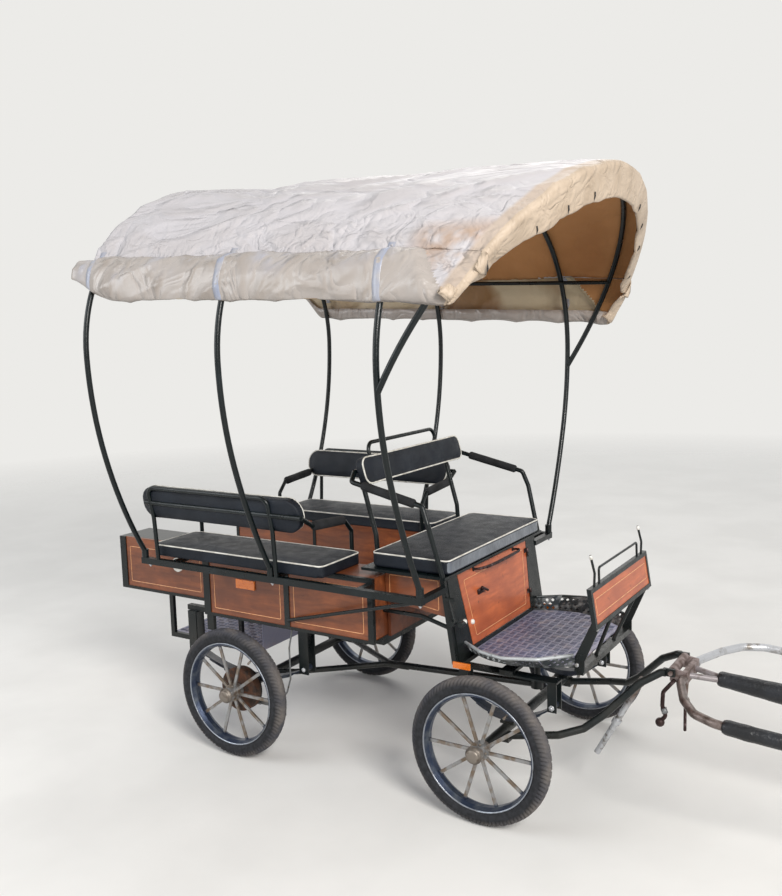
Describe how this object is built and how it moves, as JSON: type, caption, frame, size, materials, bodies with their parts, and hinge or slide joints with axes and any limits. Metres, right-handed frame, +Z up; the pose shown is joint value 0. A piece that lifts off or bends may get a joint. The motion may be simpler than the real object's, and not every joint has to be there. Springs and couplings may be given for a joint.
{
  "type": "horse-drawn carriage",
  "caption": "Pony wagonette with a fabric canopy on bent bows, facing side benches, a raised driver seat, a turning fore carriage, and a pole between curved shafts.",
  "frame": {"origin": "centre of the footprint of the whole part, on the ground", "axes": "+X forward toward the pole tip, +Y to the left side, +Z up"},
  "size_m": [4.605, 1.8858, 2.7264],
  "materials": {
    "dark_green_metal": "satin",
    "wood": "satin",
    "seat_cover": "satin",
    "canvas": "matte",
    "tyre": "matte",
    "wheel_paint": "satin",
    "rusty_metal": "matte",
    "silver_metal": "satin",
    "black_wrap": "matte",
    "checker_plate": "satin",
    "reflector": "gloss"
  },
  "bodies": {
    "carriage": {"aisle_floor": "checker_plate", "arm_pads": "seat_cover", "bench_backrests": "seat_cover", "bench_boxes": "wood", "bench_cushions": "seat_cover", "bench_rails": "dark_green_metal", "body_frame": "dark_green_metal", "brake_lever": "dark_green_metal", "brake_pipe": "rusty_metal", "canopy_bows": "dark_green_metal", "canopy_cover": "canvas", "canopy_rails": "dark_green_metal", "chassis": "dark_green_metal", "dash_frame": "dark_green_metal", "dash_panel": "wood", "driver_backrest": "seat_cover", "driver_box": "wood", "driver_cushion": "seat_cover", "driver_seat_frame": "dark_green_metal", "footboard": "checker_plate", "footboard_skirts": "checker_plate", "front_bow": "dark_green_metal", "front_frame": "dark_green_metal", "perch": "dark_green_metal", "rear_axle": "dark_green_metal", "rear_springs": "dark_green_metal", "reflectors": "reflector", "side_panels": "wood", "side_rails": "dark_green_metal", "skirt_rims": "silver_metal", "turntable_top": "dark_green_metal"},
    "fore_carriage": {"turntable_base": "dark_green_metal", "front_springs": "dark_green_metal", "front_axle": "dark_green_metal", "drawbar_arms": "dark_green_metal"},
    "draw_gear": {"cross_bracket": "rusty_metal", "pole": "dark_green_metal", "shafts": "silver_metal", "draw_sleeves": "black_wrap"},
    "prop": {"prop": "silver_metal"},
    "driver_door": {"driver_door": "wood", "door_fittings": "dark_green_metal"},
    "front_right_wheel": {"tyre_front_right": "tyre", "wheel_front_right": "wheel_paint"},
    "front_left_wheel": {"tyre_front_left": "tyre", "wheel_front_left": "wheel_paint"},
    "rear_right_wheel": {"tyre_rear_right": "tyre", "wheel_rear_right": "wheel_paint", "brake_drum_rear_right": "rusty_metal"},
    "rear_left_wheel": {"tyre_rear_left": "tyre", "wheel_rear_left": "wheel_paint", "brake_drum_rear_left": "rusty_metal"}
  },
  "joints": [
    {"name": "fore_carriage_turn", "type": "hinge", "parent": "carriage", "child": "fore_carriage", "pos_m": [-0.2475, 0, 0.55], "axis": [0, 0, 1], "range_deg": [-40, 40]},
    {"name": "draw_gear_lift", "type": "hinge", "parent": "fore_carriage", "child": "draw_gear", "pos_m": [0.3845, 0, 0.59], "axis": [0, -1, 0], "range_deg": [0, 50]},
    {"name": "prop_swing", "type": "hinge", "parent": "fore_carriage", "child": "prop", "pos_m": [0.2645, -0.116, 0.533], "axis": [0, -1, 0], "range_deg": [0, 30]},
    {"name": "door_swing", "type": "hinge", "parent": "carriage", "child": "driver_door", "pos_m": [-0.40607, 0.3045, 0.64096], "axis": [-0.1457, 0.1518, 0.9776], "range_deg": [0, 45]},
    {"name": "front_right_spin", "type": "hinge", "parent": "fore_carriage", "child": "front_right_wheel", "pos_m": [-0.2475, -0.585, 0.31], "axis": [0, 1, 0], "continuous": true},
    {"name": "front_left_spin", "type": "hinge", "parent": "fore_carriage", "child": "front_left_wheel", "pos_m": [-0.2475, 0.585, 0.31], "axis": [0, 1, 0], "continuous": true},
    {"name": "rear_right_spin", "type": "hinge", "parent": "carriage", "child": "rear_right_wheel", "pos_m": [-1.5495, -0.585, 0.31], "axis": [0, 1, 0], "continuous": true},
    {"name": "rear_left_spin", "type": "hinge", "parent": "carriage", "child": "rear_left_wheel", "pos_m": [-1.5495, 0.585, 0.31], "axis": [0, 1, 0], "continuous": true}
  ]
}
